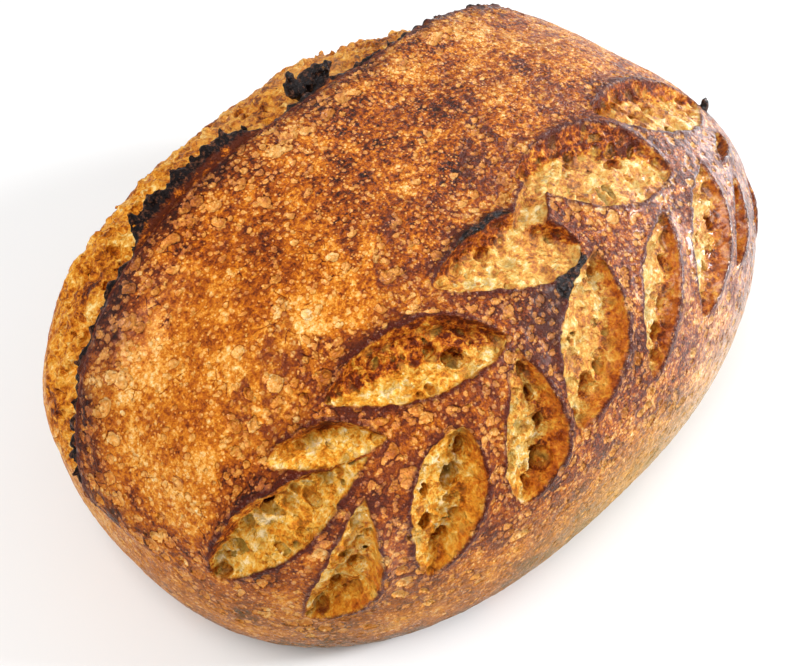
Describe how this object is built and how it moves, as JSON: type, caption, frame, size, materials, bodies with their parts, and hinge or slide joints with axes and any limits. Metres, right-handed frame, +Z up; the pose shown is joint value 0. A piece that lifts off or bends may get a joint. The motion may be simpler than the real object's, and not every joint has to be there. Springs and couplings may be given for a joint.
{
  "type": "sourdough loaf",
  "caption": "Long domed hearth loaf on a flat base, with a raised ear along one opened slash and a branch of shallow leaf-shaped cuts on the other side.",
  "frame": {"origin": "middle of the flat base, at its underside", "axes": "+X along the loaf, +Y towards the opened bloom behind the ear, -Y towards the leaf-shaped cuts, +Z up"},
  "size_m": [0.24, 0.1789, 0.106],
  "materials": {
    "crust": "browned blistered bread crust, satin with glossy blisters",
    "crumb": "golden open crumb of the opened slashes, matt",
    "char": "scorched dark brown to black edge of the ear, dull"
  },
  "bodies": {
    "root": {"loaf": "crust"}
  },
  "joints": []
}
